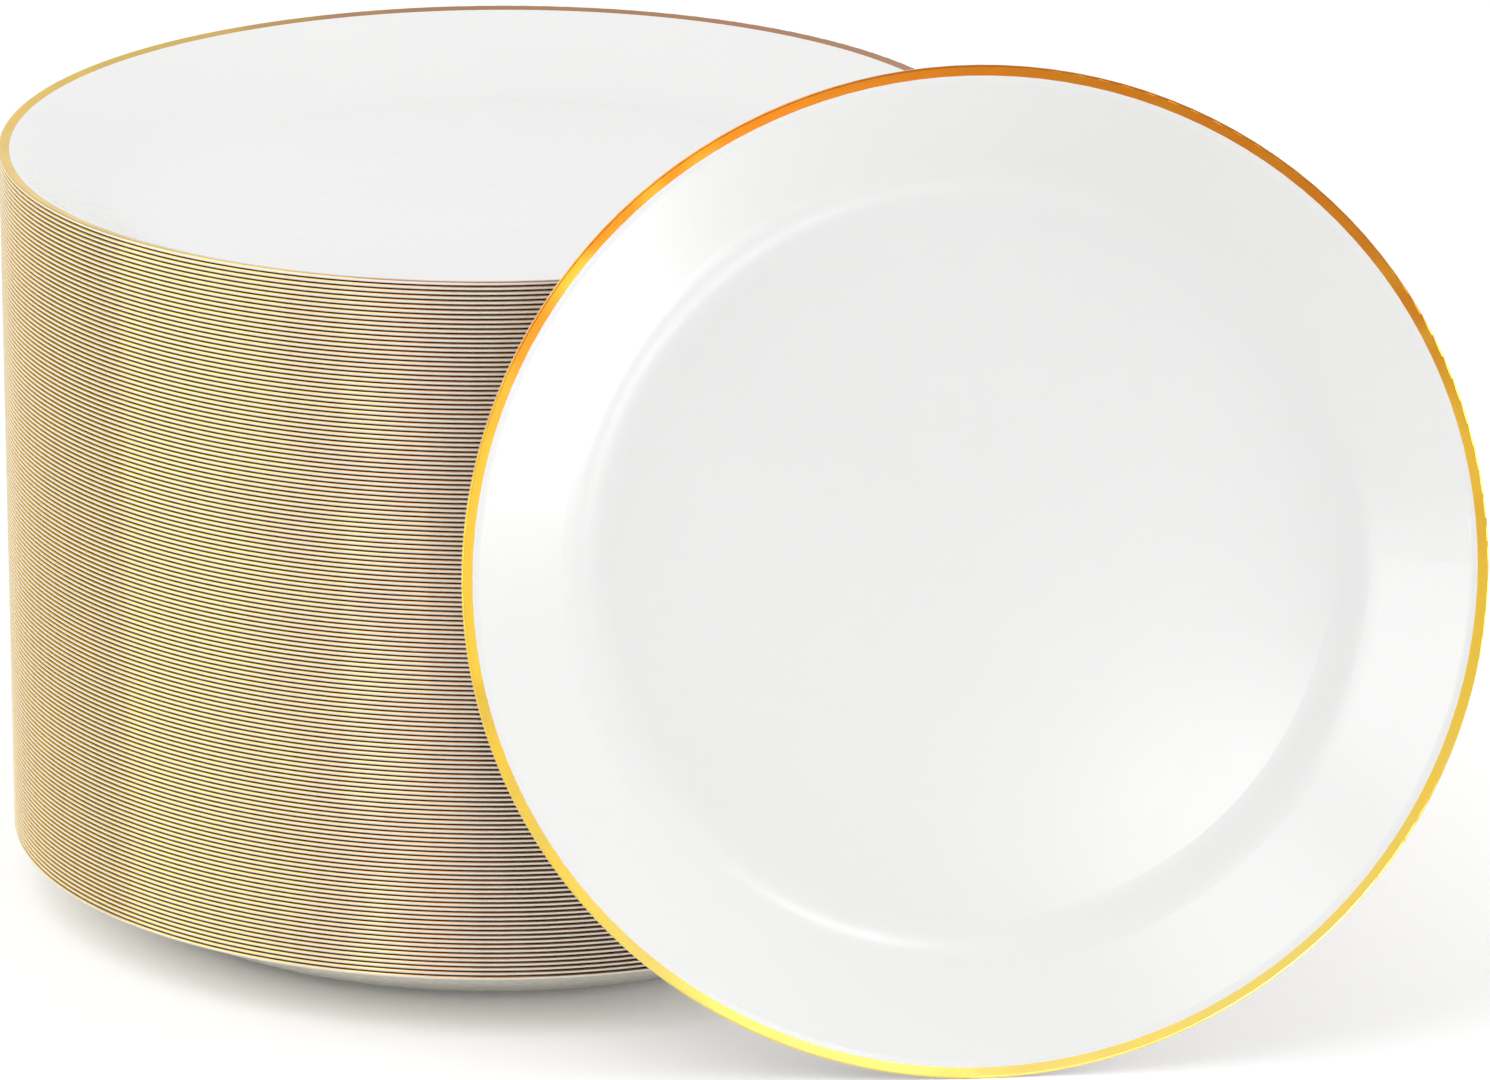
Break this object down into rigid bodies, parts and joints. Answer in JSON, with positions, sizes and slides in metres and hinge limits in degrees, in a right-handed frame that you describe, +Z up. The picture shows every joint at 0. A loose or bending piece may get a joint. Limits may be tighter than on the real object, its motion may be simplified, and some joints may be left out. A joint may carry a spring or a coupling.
{
  "type": "plate stack",
  "caption": "Tall stack of nested round coupe plates in thin white plastic with a gold foil edge, with one more plate leaning on its front.",
  "frame": {"origin": "on the floor, in the middle of the foot ring that the stack stands on", "axes": "+Z up along the stack's axis, -Y towards the side where the front plate leans, +X to the right seen from there"},
  "size_m": [0.374, 0.2974, 0.2575],
  "materials": {
    "white_plastic": "gloss",
    "gold_foil": "polished"
  },
  "bodies": {
    "root": {"plates_01": "white_plastic", "plates_02": "white_plastic", "plates_03": "white_plastic", "plates_04": "white_plastic", "plates_05": "white_plastic", "plates_06": "white_plastic", "plates_07": "white_plastic", "plates_08": "white_plastic", "plates_09": "white_plastic", "plates_10": "white_plastic", "plates_11": "white_plastic", "plates_12": "white_plastic", "plates_13": "white_plastic", "plates_14": "white_plastic", "plates_15": "white_plastic", "plates_16": "white_plastic", "plates_17": "white_plastic", "plates_18": "white_plastic", "plates_19": "white_plastic", "plates_20": "white_plastic", "plates_21": "white_plastic", "plates_22": "white_plastic", "plates_23": "white_plastic", "plates_24": "white_plastic", "plates_25": "white_plastic", "foils_01": "gold_foil", "foils_02": "gold_foil", "foils_03": "gold_foil", "foils_04": "gold_foil", "foils_05": "gold_foil", "foils_06": "gold_foil", "foils_07": "gold_foil", "foils_08": "gold_foil", "foils_09": "gold_foil", "foils_10": "gold_foil", "foils_11": "gold_foil", "foils_12": "gold_foil", "foils_13": "gold_foil", "foils_14": "gold_foil", "foils_15": "gold_foil", "foils_16": "gold_foil", "foils_17": "gold_foil", "foils_18": "gold_foil", "foils_19": "gold_foil", "foils_20": "gold_foil", "foils_21": "gold_foil", "foils_22": "gold_foil", "foils_23": "gold_foil", "foils_24": "gold_foil", "foils_25": "gold_foil", "top_plate": "white_plastic", "top_foil": "gold_foil", "front_plate": "white_plastic", "front_foil": "gold_foil"}
  },
  "joints": []
}
